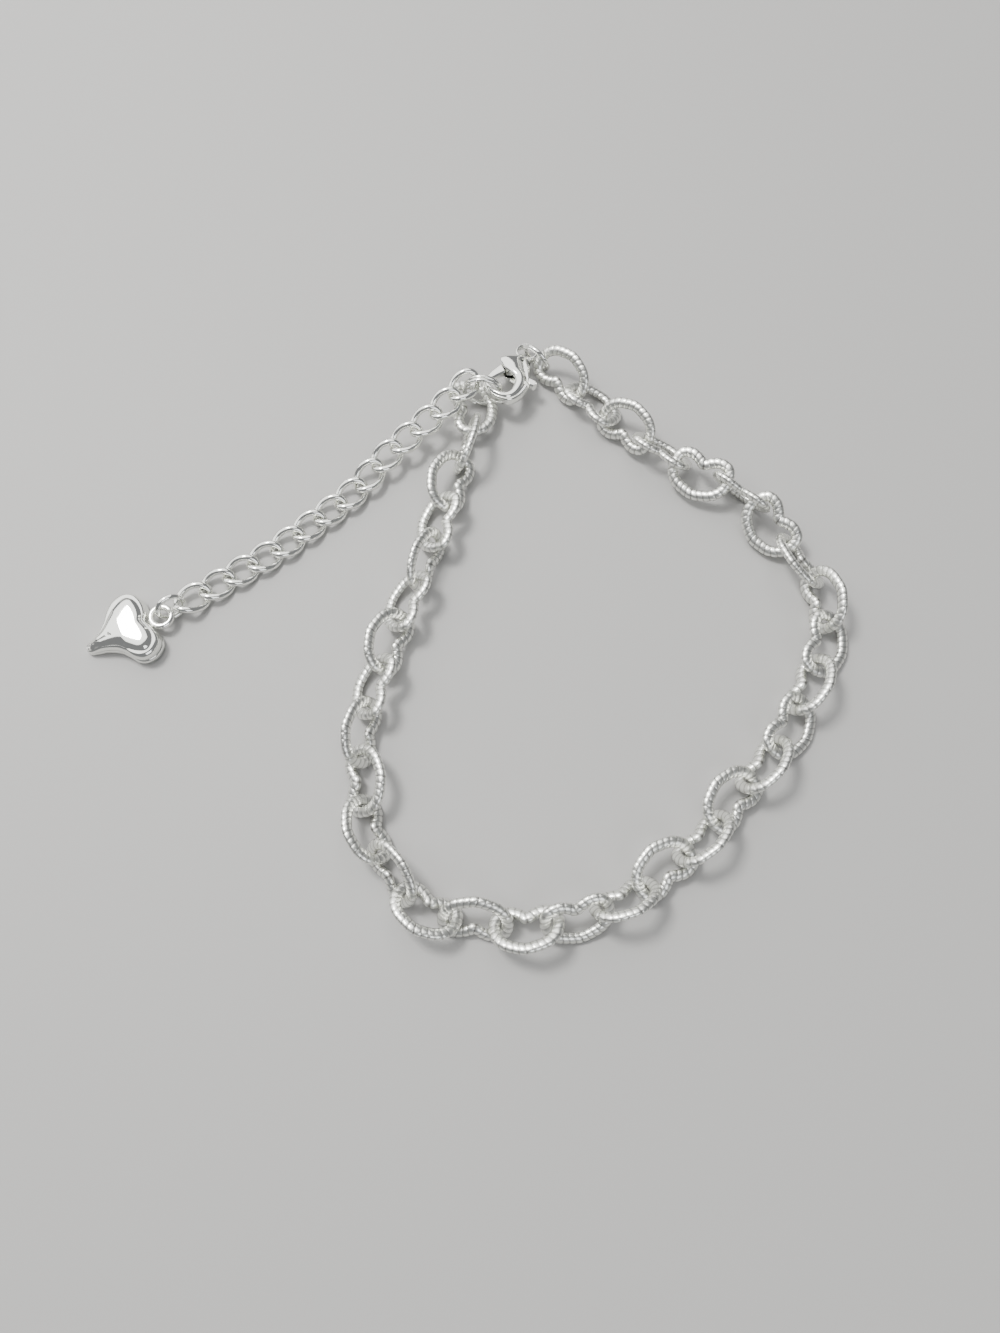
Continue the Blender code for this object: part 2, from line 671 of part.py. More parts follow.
def main():
    clear_scene()
    silver = material("silver", SILVER, 0.22, 1.0)
    satin = material("cut_silver", SILVER, 0.32, 1.0)
    bracelet = bpy.data.objects.new("bracelet", None)
    bpy.context.scene.collection.objects.link(bracelet)

    clasp = clasp_frame()
    add_clasp_body(clasp, silver, bracelet)
    add_clasp_lever(clasp, silver, bracelet)

    split_frame = split_ring_frame(clasp)
    split_section = double_section(SPLIT_RING_WIRE, 8)
    split = ring_mesh("split_ring", SPLIT_RING_RADIUS, split_section, RING_SEGMENTS + 2)
    add_object("split_ring", split, split_frame, silver, bracelet)

    hearts = add_heart_chain(split_frame, satin, bracelet)
    away = (hearts[1] - hearts[0]).normalized()
    grip = hearts[0] + away * (JUMP_RING_WIRE / 2 + CHAIN_GAP / 2)
    eye = clasp @ Vector((0, 0, 0))
    jump_frame = ring_through(grip, eye, JUMP_RING_RADIUS, JUMP_RING_LEAN)
    jump = ring_mesh("clasp_jump_ring", JUMP_RING_RADIUS,
                     round_section(JUMP_RING_WIRE / 2, WIRE_SIDES), RING_SEGMENTS)
    add_object("clasp_jump_ring", jump, jump_frame, silver, bracelet)

    ovals = add_extender(split_frame, silver, bracelet)
    outward = (ovals[-1] - ovals[-2]).normalized()
    hold = ovals[-1] - outward * (CHARM_RING_WIRE / 2 + CHAIN_GAP / 2)
    outward.z = 0
    charm_eye = hold + outward.normalized() * (2 * CHARM_RING_RADIUS * 0.95)
    charm_eye.z = CHARM_EYE_HEIGHT
    charm_frame = ring_through(hold, charm_eye, CHARM_RING_RADIUS, CHARM_RING_LEAN)
    link = ring_mesh("charm_ring", CHARM_RING_RADIUS,
                     round_section(CHARM_RING_WIRE / 2, WIRE_SIDES), RING_SEGMENTS)
    add_object("charm_ring", link, charm_frame, silver, bracelet)
    add_charm(charm_eye, silver, bracelet)
    centre_over_origin(bracelet)


main()
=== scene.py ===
"""Dresses the heart link bracelet in worked and polished silver, on a pale table under studio light."""

import json
import logging
import math
from dataclasses import dataclass
from enum import Enum

import bmesh
import bpy
import numpy as np
from mathutils import Matrix, Vector

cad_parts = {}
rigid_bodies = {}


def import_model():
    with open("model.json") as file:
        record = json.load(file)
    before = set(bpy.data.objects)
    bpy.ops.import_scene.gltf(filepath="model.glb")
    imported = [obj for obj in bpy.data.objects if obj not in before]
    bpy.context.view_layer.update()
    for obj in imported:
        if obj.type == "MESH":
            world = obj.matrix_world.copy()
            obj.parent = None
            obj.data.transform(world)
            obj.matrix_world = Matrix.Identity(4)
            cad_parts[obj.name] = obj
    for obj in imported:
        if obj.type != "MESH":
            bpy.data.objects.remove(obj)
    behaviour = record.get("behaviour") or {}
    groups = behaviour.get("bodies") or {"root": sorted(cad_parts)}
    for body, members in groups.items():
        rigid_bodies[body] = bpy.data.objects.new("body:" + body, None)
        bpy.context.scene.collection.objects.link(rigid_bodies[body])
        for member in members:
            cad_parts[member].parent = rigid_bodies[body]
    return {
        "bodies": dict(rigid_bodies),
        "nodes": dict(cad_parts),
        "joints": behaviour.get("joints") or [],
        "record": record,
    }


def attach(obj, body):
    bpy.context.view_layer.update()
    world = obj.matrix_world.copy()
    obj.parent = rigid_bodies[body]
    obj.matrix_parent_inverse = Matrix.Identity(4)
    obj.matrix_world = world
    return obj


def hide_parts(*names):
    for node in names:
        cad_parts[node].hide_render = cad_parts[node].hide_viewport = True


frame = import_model()
NODES = frame["nodes"]
MM = 0.001
POINT_DECIMALS = 7
LOG = logging.getLogger("bracelet")


class Slot(Enum):
    """The record's material slots."""

    CUT = "cut_silver"
    POLISHED = "silver"


class Value:
    """A shader number that takes Python's operators, each of which adds a Math node."""

    def __init__(self, graph: "ShaderGraph", socket: bpy.types.NodeSocket) -> None:
        """Keeps the graph and the socket that gives the number.

        Args:
            graph: The graph that the new nodes go to.
            socket: The output socket with the number.
        """
        self.graph = graph
        self.socket = socket

    def _math(self, operation: str, first: object, second: object) -> "Value":
        """Adds one Math node.

        Args:
            operation: The Math node's operation.
            first: Number or Value for the first input.
            second: Number or Value for the second input.

        Returns:
            The node's result.
        """
        node = self.graph.node("ShaderNodeMath", {"operation": operation}, {0: first, 1: second})
        return Value(self.graph, node.outputs[0])

    def __add__(self, other: object) -> "Value":
        """Sum."""
        return self._math("ADD", self, other)

    def __radd__(self, other: object) -> "Value":
        """Sum with a plain number first."""
        return self._math("ADD", other, self)

    def __mul__(self, other: object) -> "Value":
        """Product."""
        return self._math("MULTIPLY", self, other)

    def __rmul__(self, other: object) -> "Value":
        """Product with a plain number first."""
        return self._math("MULTIPLY", other, self)

    def __pow__(self, other: object) -> "Value":
        """Power."""
        return self._math("POWER", self, other)


class ShaderGraph:
    """A material's node tree, with one method for every kind of node."""

    def __init__(self, name: str) -> None:
        """Makes the material and its Principled shader.

        Args:
            name: The material's name.
        """
        self.material = bpy.data.materials.new(name)
        self.material.use_nodes = True
        self.tree = self.material.node_tree
        self.shader = self.tree.nodes["Principled BSDF"]

    def node(self, kind: str, settings: dict, inputs: dict) -> bpy.types.Node:
        """Adds a node: its settings first, then its sockets' values or links.

        Args:
            kind: The node's type.
            settings: Attributes to set on the node.
            inputs: Socket name or number to a number, colour, socket or Value.

        Returns:
            The new node.
        """
        node = self.tree.nodes.new(kind)
        for name, value in settings.items():
            setattr(node, name, value)
        for name, value in inputs.items():
            self.feed(node.inputs[name], value)
        return node

    def feed(self, socket: bpy.types.NodeSocket, value: object) -> None:
        """Links or sets one input socket.

        Args:
            socket: The input socket.
            value: A Value, a socket, or a plain number, vector or colour.
        """
        if isinstance(value, Value):
            self.tree.links.new(value.socket, socket)
        elif isinstance(value, bpy.types.NodeSocket):
            self.tree.links.new(value, socket)
        else:
            socket.default_value = value

    def millimetres(self) -> bpy.types.NodeSocket:
        """Object coordinates in millimetres.

        Returns:
            The coordinates' socket.
        """
        place = self.node("ShaderNodeTexCoord", {}, {})
        scaled = self.node("ShaderNodeVectorMath", {"operation": "SCALE"},
                           {0: place.outputs["Object"], "Scale": 1 / MM})
        return scaled.outputs[0]

    def noise(self, place: bpy.types.NodeSocket, per_mm: float, detail: float) -> Value:
        """A noise value from 0 to 1.

        Args:
            place: The coordinates.
            per_mm: How many features to a millimetre.
            detail: Octaves of finer detail.

        Returns:
            The noise's value.
        """
        node = self.node("ShaderNodeTexNoise", {}, {"Vector": place, "Scale": per_mm, "Detail": detail})
        return Value(self, node.outputs[0])

    def attribute(self, name: str) -> Value:
        """A number that the mesh keeps on its points under a name."""
        node = self.node("ShaderNodeAttribute", {"attribute_name": name}, {})
        return Value(self, node.outputs["Fac"])

    def bump(self, height: Value, strength: float, depth: float) -> None:
        """Lets a height roughen the surface.

        Args:
            height: The height.
            strength: How strongly it shows.
            depth: The depth in metres of a height of 1.
        """
        node = self.node("ShaderNodeBump", {}, {"Height": height, "Strength": strength, "Distance": depth})
        self.feed(self.shader.inputs["Normal"], node.outputs[0])

    def blend(self, share: object, first: object, second: object) -> bpy.types.NodeSocket:
        """Mixes two colours.

        Args:
            share: How much of the second colour, 0 to 1.
            first: The first colour, or the socket that gives it.
            second: The second colour.

        Returns:
            The mixed colour's socket.
        """
        node = self.node("ShaderNodeMix", {"data_type": "RGBA"}, {0: share, 6: first, 7: second})
        return node.outputs[2]


@dataclass(frozen=True)
class CutSilver:
    """Satin silver cut with fine crosswise grooves: bright crests, painted shade darkening the grooves, and a
    fine grain.
    """

    crest: tuple[float, float, float, float] = (0.965, 0.97, 0.922, 1.0)
    shade: tuple[float, float, float, float] = (0.83, 0.84, 0.79, 1.0)
    # The cut colour is painted shade: it darkens the bottoms of the grooves.
    cut: tuple[float, float, float, float] = (0.26, 0.255, 0.24, 1.0)
    smooth: float = 0.22
    rough: float = 0.40
    patches_per_mm: float = 0.8
    grain_per_mm: float = 13.0
    dents_per_mm: float = 2.2
    # How sharply and how strongly the painted shade darkens the grooves.
    groove_shade_power: float = 1.2
    groove_shade_gain: float = 1.15
    bump_strength: float = 0.7
    grain_depth: float = 0.016 * MM

    def build(self) -> bpy.types.Material:
        """Makes the material.

        Returns:
            The finished material.
        """
        graph = ShaderGraph("cut silver")
        place = graph.millimetres()
        groove = graph.attribute("groove")
        patches = graph.noise(place, self.patches_per_mm, detail=3.0)
        grain = graph.noise(place, self.grain_per_mm, detail=2.0)
        dents = graph.noise(place, self.dents_per_mm, detail=1.0)
        metal = graph.blend(patches * 0.5 + grain * 0.3, self.crest, self.shade)
        # Painted shade: the groove share pulls the colour towards the dark cut colour in the grooves'
        # bottoms.
        groove_shade_share = graph.node("ShaderNodeMath", {"operation": "MULTIPLY", "use_clamp": True},
                          {0: groove ** self.groove_shade_power, 1: self.groove_shade_gain})
        graph.feed(graph.shader.inputs["Base Color"], graph.blend(groove_shade_share.outputs[0], metal, self.cut))
        graph.feed(graph.shader.inputs["Metallic"], 1.0)
        wear = patches * 0.6 + groove * 0.5 + grain * 0.2
        graph.feed(graph.shader.inputs["Roughness"], self.smooth + (self.rough - self.smooth) * wear)
        graph.bump(grain * 0.45 + dents * 1.6, self.bump_strength, self.grain_depth)
        return graph.material


@dataclass(frozen=True)
class PolishedSilver:
    """Mirror-polished silver with the faint cloud, hairlines and soft wear of a worn piece."""

    bright: tuple[float, float, float, float] = (0.97, 0.975, 0.932, 1.0)
    cloud: tuple[float, float, float, float] = (0.85, 0.86, 0.82, 1.0)
    smooth: float = 0.06
    rough: float = 0.22
    cloud_per_mm: float = 0.55
    wear_per_mm: float = 2.6
    ripples_per_mm: float = 0.9
    hairline_turn: float = 0.7
    hairlines_per_mm: tuple[float, float, float] = (14.0, 0.9, 5.0)
    cloud_power: float = 1.6
    wear_power: float = 1.5
    bump_strength: float = 0.4
    hairline_depth: float = 0.016 * MM

    def build(self) -> bpy.types.Material:
        """Makes the material.

        Returns:
            The finished material.
        """
        graph = ShaderGraph("polished silver")
        place = graph.millimetres()
        cloud = graph.noise(place, self.cloud_per_mm, detail=4.0)
        wear = graph.noise(place, self.wear_per_mm, detail=3.0)
        stretched = graph.node("ShaderNodeMapping", {}, {
            "Vector": place, "Rotation": (0.0, 0.0, self.hairline_turn), "Scale": self.hairlines_per_mm})
        lines = graph.noise(stretched.outputs[0], 1.0, detail=2.0)
        ripples = graph.noise(place, self.ripples_per_mm, detail=1.0)
        clouded = (cloud * 0.6 + wear * 0.4) ** self.cloud_power
        graph.feed(graph.shader.inputs["Base Color"], graph.blend(clouded, self.bright, self.cloud))
        graph.feed(graph.shader.inputs["Metallic"], 1.0)
        worn = (wear * 0.5 + lines * 0.4) ** self.wear_power
        graph.feed(graph.shader.inputs["Roughness"], self.smooth + (self.rough - self.smooth) * worn)
        graph.bump(lines * 0.3 + ripples, self.bump_strength, self.hairline_depth)
        return graph.material


@dataclass(frozen=True)
class TableTop:
    """A plain pale studio surface."""

    colour: tuple[float, float, float, float] = (0.38, 0.377, 0.37, 1.0)
    rough: float = 0.62

    def build(self) -> bpy.types.Material:
        """Makes the material.

        Returns:
            The finished material.
        """
        graph = ShaderGraph("pale table")
        graph.feed(graph.shader.inputs["Base Color"], self.colour)
        graph.feed(graph.shader.inputs["Roughness"], self.rough)
        return graph.material


class ShapeTree:
    """A Geometry Nodes tree with named inputs."""

    def __init__(self, name: str) -> None:
        """Starts a tree that takes a mesh and gives one.

        Args:
            name: The tree's name.
        """
        self.tree = bpy.data.node_groups.new(name, "GeometryNodeTree")
        self.tree.interface.new_socket("Geometry", in_out="INPUT", socket_type="NodeSocketGeometry")
        self.tree.interface.new_socket("Geometry", in_out="OUTPUT", socket_type="NodeSocketGeometry")
        self.source = self.tree.nodes.new("NodeGroupInput")
        self.result = self.tree.nodes.new("NodeGroupOutput")
        self.values: dict[str, object] = {}

    def size(self, name: str, value: object) -> bpy.types.NodeSocket:
        """Adds a named input.

        Args:
            name: The input's name.
            value: Its value: a whole number, a number or a material.

        Returns:
            The socket inside the tree.
        """
        kind = "NodeSocketFloat"
        if isinstance(value, int):
            kind = "NodeSocketInt"
        if isinstance(value, bpy.types.Material):
            kind = "NodeSocketMaterial"
        self.tree.interface.new_socket(name, in_out="INPUT", socket_type=kind)
        self.values[name] = value
        return self.source.outputs[name]

    def node(self, kind: str, settings: dict, inputs: dict) -> bpy.types.Node:
        """Adds a node: its settings first, then its sockets' values or links.

        Args:
            kind: The node's type.
            settings: Attributes to set on the node.
            inputs: Socket name or number to a number, vector or socket.

        Returns:
            The new node.
        """
        node = self.tree.nodes.new(kind)
        for name, value in settings.items():
            setattr(node, name, value)
        for name, value in inputs.items():
            if isinstance(value, bpy.types.NodeSocket):
                self.tree.links.new(value, node.inputs[name])
            else:
                node.inputs[name].default_value = value
        return node

    def math(self, operation: str, first: object, second: object = 0.0) -> bpy.types.NodeSocket:
        """One Math node.

        Args:
            operation: The Math node's operation.
            first: Number or socket for the first input.
            second: Number or socket for the second input.

        Returns:
            The result's socket.
        """
        return self.node("ShaderNodeMath", {"operation": operation}, {0: first, 1: second}).outputs[0]

    def vector(self, operation: str, first: object, second: object) -> bpy.types.NodeSocket:
        """One Vector Math node.

        Args:
            operation: The Vector Math node's operation.
            first: Vector or socket for the first input.
            second: Vector or socket for the second input.

        Returns:
            The resulting vector's socket.
        """
        return self.node("ShaderNodeVectorMath", {"operation": operation}, {0: first, 1: second}).outputs[0]

    def read(self, name: str, kind: str) -> bpy.types.NodeSocket:
        """A named attribute.

        Args:
            name: The attribute's name.
            kind: Its data type.

        Returns:
            The attribute's socket.
        """
        node = self.node("GeometryNodeInputNamedAttribute", {"data_type": kind}, {"Name": name})
        return node.outputs["Attribute"]

    def mark(self, shape: bpy.types.NodeSocket, name: str, kind: str,
             value: bpy.types.NodeSocket) -> bpy.types.NodeSocket:
        """Stores a value on every point under a name.

        Args:
            shape: The geometry.
            name: The attribute's name.
            kind: Its data type.
            value: The value.

        Returns:
            The marked geometry.
        """
        return self.node("GeometryNodeStoreNamedAttribute", {"data_type": kind, "domain": "POINT"},
                         {"Geometry": shape, "Name": name, "Value": value}).outputs[0]

    def tube(self, curve: bpy.types.NodeSocket, radius: bpy.types.NodeSocket, sides: bpy.types.NodeSocket,
             caps: bool) -> bpy.types.NodeSocket:
        """A round tube along a curve.

        Args:
            curve: The curve.
            radius: The wire's radius, which may change along the curve.
            sides: How many sides the wire has.
            caps: Whether the tube's ends are closed.

        Returns:
            The tube's mesh.
        """
        sized = self.node("GeometryNodeSetCurveRadius", {}, {"Curve": curve, "Radius": radius})
        profile = self.node("GeometryNodeCurvePrimitiveCircle", {"mode": "RADIUS"},
                            {"Resolution": sides, "Radius": 1.0})
        made = self.node("GeometryNodeCurveToMesh", {}, {
            "Curve": sized.outputs[0], "Profile Curve": profile.outputs[0], "Fill Caps": caps})
        if "Scale" in made.inputs:
            self.tree.links.new(self.node("GeometryNodeInputRadius", {}, {}).outputs[0], made.inputs["Scale"])
        return made.outputs[0]

    def finish(self, seats: bpy.types.NodeSocket, shape: bpy.types.NodeSocket,
               metal: bpy.types.Material) -> None:
        """Sets the shape on every seat, makes it real and gives it its material.

        Args:
            seats: Points with a "turn" rotation attribute.
            shape: The shape's mesh.
            metal: The material.
        """
        turn = self.read("turn", "QUATERNION")
        placed = self.node("GeometryNodeInstanceOnPoints", {}, {
            "Points": seats, "Instance": shape, "Rotation": turn})
        real = self.node("GeometryNodeRealizeInstances", {}, {"Geometry": placed.outputs[0]})
        smooth = self.node("GeometryNodeSetShadeSmooth", {}, {0: real.outputs[0]})
        dressed = self.node("GeometryNodeSetMaterial", {}, {
            "Geometry": smooth.outputs[0], "Material": self.size("Metal", metal)})
        self.tree.links.new(dressed.outputs[0], self.result.inputs[0])

    def grow(self, name: str, mesh: bpy.types.Mesh) -> bpy.types.Object:
        """Runs the tree on a mesh and keeps the result as a plain mesh object.

        Args:
            name: The new piece's name.
            mesh: The mesh that the tree starts from.

        Returns:
            The finished piece.
        """
        item = bpy.data.objects.new(name, mesh)
        bpy.context.scene.collection.objects.link(item)
        modifier = item.modifiers.new("shape", "NODES")
        modifier.node_group = self.tree
        for socket in self.tree.interface.items_tree:
            if socket.in_out == "INPUT" and socket.name in self.values:
                modifier[socket.identifier] = self.values[socket.name]
        deps = bpy.context.evaluated_depsgraph_get()
        made = bpy.data.meshes.new_from_object(item.evaluated_get(deps), depsgraph=deps)
        item.modifiers.remove(modifier)
        item.data = made
        return item


def plain_object(name: str, mesh: bpy.types.Mesh, metal: bpy.types.Material) -> bpy.types.Object:
    """Adds a mesh to the scene with its one material.

    Args:
        name: The piece's name.
        mesh: The mesh, already in place.
        metal: The material.

    Returns:
        The new object.
    """
    mesh.materials.clear()
    mesh.materials.append(metal)
    item = bpy.data.objects.new(name, mesh)
    bpy.context.scene.collection.objects.link(item)
    return item


def between(near: tuple, share: float) -> Vector | np.ndarray:
    """A place on the smooth curve through four neighbours, between the second and the third.

    Args:
        near: The four neighbours.
        share: How far along, 0 to 1.

    Returns:
        The place.
    """
    a, b, c, d = near
    return 0.5 * (2 * b + (c - a) * share + (2 * a - 5 * b + 4 * c - d) * share ** 2
                  + (3 * b - a - 3 * c + d) * share ** 3)


def bridge(work: bmesh.types.BMesh, first: list[bmesh.types.BMVert],
           second: list[bmesh.types.BMVert]) -> None:
    """Joins two closed loops of as many points with quads.

    Args:
        work: The mesh work.
        first: One loop's points.
        second: The other's.
    """
    count = len(first)
    for side in range(count):
        after = (side + 1) % count
        work.faces.new((first[side], first[after], second[after], second[side]))


def smooth_loop(points: list[Vector], steps: int) -> list[Vector]:
    """A closed smooth curve through points.

    Args:
        points: The points, in order.
        steps: New points for each given one.

    Returns:
        The curve's points.
    """
    count = len(points)
    made = []
    for index in range(count):
        near = tuple(points[(index + shift) % count] for shift in (-1, 0, 1, 2))
        made += [between(near, step / steps) for step in range(steps)]
    return made


def smooth_rows(rows: np.ndarray, steps: int) -> np.ndarray:
    """An open smooth curve through rows of numbers.

    Args:
        rows: One row of numbers for each given section.
        steps: New rows for each step between two given ones.

    Returns:
        The denser rows.
    """
    padded = np.vstack([2 * rows[0] - rows[1], rows, 2 * rows[-1] - rows[-2]])
    made = []
    for index in range(1, len(padded) - 2):
        near = tuple(padded[index - 1:index + 3])
        made += [between(near, share) for share in np.linspace(0, 1, steps, endpoint=False)]
    made.append(rows[-1])
    return np.array(made)


def node_points(name: str) -> np.ndarray:
    """A CAD node's own points at rest, without repeats.

    Args:
        name: The node's name.

    Returns:
        One row for each point, in metres.
    """
    mesh = NODES[name].data
    flat = np.empty(len(mesh.vertices) * 3)
    mesh.vertices.foreach_get("co", flat)
    return np.unique(flat.reshape(-1, 3).round(POINT_DECIMALS), axis=0)


def node_axes(name: str) -> tuple[np.ndarray, np.ndarray, np.ndarray]:
    """The middle of a CAD node, its principal axes and its points in them.

    Args:
        name: The node's name.

    Returns:
        The middle of its spread, its axes as rows, longest first, and the points along them.
    """
    points = node_points(name)
    middle = points.mean(axis=0)
    _, _, axes = np.linalg.svd(points - middle, full_matrices=False)
    axes[2] = np.cross(axes[0], axes[1])
    return middle, axes, (points - middle) @ axes.T


def seat_mesh(name: str, frames: list[tuple[np.ndarray, np.ndarray]], path: list[Vector]) -> bpy.types.Mesh:
    """A mesh with one loose point and rotation for each frame, and a closed path beside them.

    Args:
        name: The mesh's name.
        frames: A middle and the three axes as rows, for each seat.
        path: Points of a closed path, or none.

    Returns:
        The mesh, with "turn" and "seat" attributes on its points.
    """
    mesh = bpy.data.meshes.new(name)
    count = len(path)
    edges = [(index, (index + 1) % count) for index in range(count)]
    points = [tuple(point) for point in path] + [tuple(middle) for middle, _ in frames]
    mesh.from_pydata(points, edges, [])
    mesh.attributes.new("turn", "QUATERNION", "POINT")
    mesh.attributes.new("seat", "BOOLEAN", "POINT")
    turn, seat = mesh.attributes["turn"], mesh.attributes["seat"]
    for index, (_, axes) in enumerate(frames):
        turn.data[count + index].value = tuple(Matrix(axes.T.tolist()).to_quaternion())
        seat.data[count + index].value = True
    return mesh


@dataclass
class HeartChain:
    """The chain of heart-shaped wire links. The CAD wire's size serves to find each link's place,
    and the finished wire is pressed to a wider flat band."""

    metal: bpy.types.Material
    count: int = 33
    half_width: float = 3.275 * MM
    height: float = 4.35 * MM
    tip: float = 0.65
    outline_steps: int = 6
    end_zone: float = 0.9 * MM
    wire: float = 1.05 * MM
    band: float = 1.24 * MM
    flat: float = 0.74
    ribs: int = 28
    steps: int = 6
    cut: float = 0.13
    crest_power: float = 0.2
    slant: float = 0.26
    sides: int = 12

    def outline(self) -> list[Vector]:
        """The link's closed centre line.

        Returns:
            Its points, in metres, with the line of pull along X.
        """
        half = ((0.0, 0.17), (0.22, 0.27), (0.54, 0.35), (0.88, 0.27), (1.0, 0.0), (0.93, -0.28),
                (0.68, -0.49), (0.33, -0.60), (0.0, -self.tip))
        right = [Vector((x * self.half_width, y * self.height, 0.0)) for x, y in half]
        left = [Vector((-point.x, point.y, 0.0)) for point in reversed(right[1:-1])]
        return smooth_loop(right + left, self.outline_steps)

    def seat(self, name: str) -> tuple[np.ndarray, np.ndarray]:
        """Reads where a link lies from its CAD node.

        Args:
            name: The node's name.

        Returns:
            The middle of its line of pull, and its axes as rows.
        """
        middle, axes, local = node_axes(name)
        low, high = local.min(axis=0), local.max(axis=0)
        centre = (low + high) / 2
        upper = np.abs(local[local[:, 1] > high[1] - self.end_zone, 0] - centre[0]).mean()
        lower = np.abs(local[local[:, 1] < low[1] + self.end_zone, 0] - centre[0]).mean()
        sign = 1.0 if upper > lower else -1.0
        tip = low[1] if sign > 0 else high[1]
        pull = tip + sign * (self.tip * self.height + self.wire / 2)
        origin = middle + np.array([centre[0], pull, centre[2]]) @ axes
        frame = np.array([axes[0], sign * axes[1], sign * axes[2]])
        return origin, frame

    def build(self) -> bpy.types.Object:
        """Makes the whole chain in one piece.

        Returns:
            The finished piece.
        """
        names = [f"heart_link_{index + 1:02d}" for index in range(self.count)]
        tree = ShapeTree("heart link chain")
        wire = tree.size("Half band width", self.band / 2)
        flat = tree.size("Thickness to width", self.flat)
        ribs = tree.size("Ribs round a link", self.ribs)
        steps = tree.size("Steps to a rib", self.steps)
        cut = tree.size("Cut depth", self.cut)
        slant = tree.size("Slant of the cuts", self.slant)
        sides = tree.size("Wire sides", self.sides)
        samples = tree.math("MULTIPLY", ribs, steps)
        parted = tree.node("GeometryNodeSeparateGeometry", {"domain": "POINT"},
                           {"Geometry": tree.source.outputs[0], "Selection": tree.read("seat", "BOOLEAN")})
        curve = tree.node("GeometryNodeMeshToCurve", {}, {0: parted.outputs["Inverted"]})
        fine = tree.node("GeometryNodeResampleCurve", {}, {"Curve": curve.outputs[0], "Count": samples})
        along = tree.node("GeometryNodeSplineParameter", {}, {}).outputs["Factor"]
        phase = tree.math("MULTIPLY", tree.math("MULTIPLY", along, ribs), math.pi)
        swell = tree.math("POWER", tree.math("ABSOLUTE", tree.math("SINE", phase)), self.crest_power)
        groove = tree.math("SUBTRACT", 1.0, swell)
        thinned = tree.math("SUBTRACT", 1.0, tree.math("MULTIPLY", groove, cut))
        radius = tree.math("MULTIPLY", wire, thinned)
        place = tree.node("GeometryNodeInputPosition", {}, {}).outputs[0]
        tangent = tree.node("GeometryNodeInputTangent", {}, {}).outputs[0]
        # The groove share is kept on the wire for the material, which uses it to paint shade into the
        # grooves.
        marked = tree.mark(fine.outputs[0], "groove", "FLOAT", groove)
        marked = tree.mark(marked, "aim", "FLOAT_VECTOR", tangent)
        marked = tree.mark(marked, "middle", "FLOAT_VECTOR", place)
        link = tree.tube(marked, radius, sides, False)
        aim = tree.read("aim", "FLOAT_VECTOR")
        outward = tree.vector("SUBTRACT", place, tree.read("middle", "FLOAT_VECTOR"))
        across = tree.vector("CROSS_PRODUCT", aim, (0.0, 0.0, 1.0))
        reach = tree.node("ShaderNodeVectorMath", {"operation": "DOT_PRODUCT"}, {0: outward, 1: across})
        shift = tree.math("MULTIPLY", reach.outputs["Value"], slant)
        lean = tree.node("ShaderNodeVectorMath", {"operation": "SCALE"}, {0: aim, "Scale": shift})
        slanted = tree.node("GeometryNodeSetPosition", {}, {"Geometry": link, "Offset": lean.outputs[0]})
        pressing = tree.node("ShaderNodeCombineXYZ", {}, {0: 1.0, 1: 1.0, 2: flat})
        pressed = tree.node("GeometryNodeSetPosition", {}, {
            "Geometry": slanted.outputs[0], "Position": tree.vector("MULTIPLY", place, pressing.outputs[0])})
        tree.finish(parted.outputs["Selection"], pressed.outputs[0], self.metal)
        mesh = seat_mesh("heart_chain", [self.seat(name) for name in names], self.outline())
        piece = tree.grow("heart_chain", mesh)
        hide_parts(*names)
        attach(piece, "bracelet")
        return piece


@dataclass
class ExtenderChain:
    """The extender's twisted oval links."""

    metal: bpy.types.Material
    count: int = 14
    half_length: float = 2.02 * MM
    half_height: float = 1.395 * MM
    wire: float = 0.74 * MM
    twist: float = math.radians(37.3)
    samples: int = 72
    sides: int = 14

    def seat(self, name: str) -> tuple[np.ndarray, np.ndarray]:
        """Reads where a link lies from its CAD node.

        Args:
            name: The node's name.

        Returns:
            Its middle and its axes as rows.
        """
        middle, axes, local = node_axes(name)
        centre = (local.min(axis=0) + local.max(axis=0)) / 2
        return middle + centre @ axes, axes

    def build(self) -> bpy.types.Object:
        """Makes all the links in one piece.

        Returns:
            The finished piece.
        """
        names = [f"extender_link_{index + 1:02d}" for index in range(self.count)]
        tree = ShapeTree("twisted link chain")
        half_length = tree.size("Half length", self.half_length)
        half_height = tree.size("Half height", self.half_height)
        wire = tree.size("Wire radius", self.wire / 2)
        twist = tree.size("Twist", self.twist)
        samples = tree.size("Samples", self.samples)
        sides = tree.size("Wire sides", self.sides)
        circle = tree.node("GeometryNodeCurvePrimitiveCircle", {"mode": "RADIUS"},
                           {"Resolution": samples, "Radius": self.half_height})
        along = tree.node("GeometryNodeSplineParameter", {}, {}).outputs["Factor"]
        turn = tree.math("MULTIPLY", along, 2 * math.pi)
        cosine = tree.math("COSINE", turn)
        lean = tree.math("MULTIPLY", cosine, twist)
        reach = tree.math("MULTIPLY", half_height, tree.math("SINE", turn))
        place = tree.node("ShaderNodeCombineXYZ", {}, {
            0: tree.math("MULTIPLY", half_length, cosine),
            1: tree.math("MULTIPLY", reach, tree.math("COSINE", lean)),
            2: tree.math("MULTIPLY", reach, tree.math("SINE", lean)),
        })
        bent = tree.node("GeometryNodeSetPosition", {},
                         {"Geometry": circle.outputs[0], "Position": place.outputs[0]})
        link = tree.tube(bent.outputs[0], wire, sides, False)
        tree.finish(tree.source.outputs[0], link, self.metal)
        seats = [self.seat(name) for name in names]
        piece = tree.grow("extender_chain", seat_mesh("extender_chain", seats, []))
        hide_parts(*names)
        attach(piece, "bracelet")
        return piece


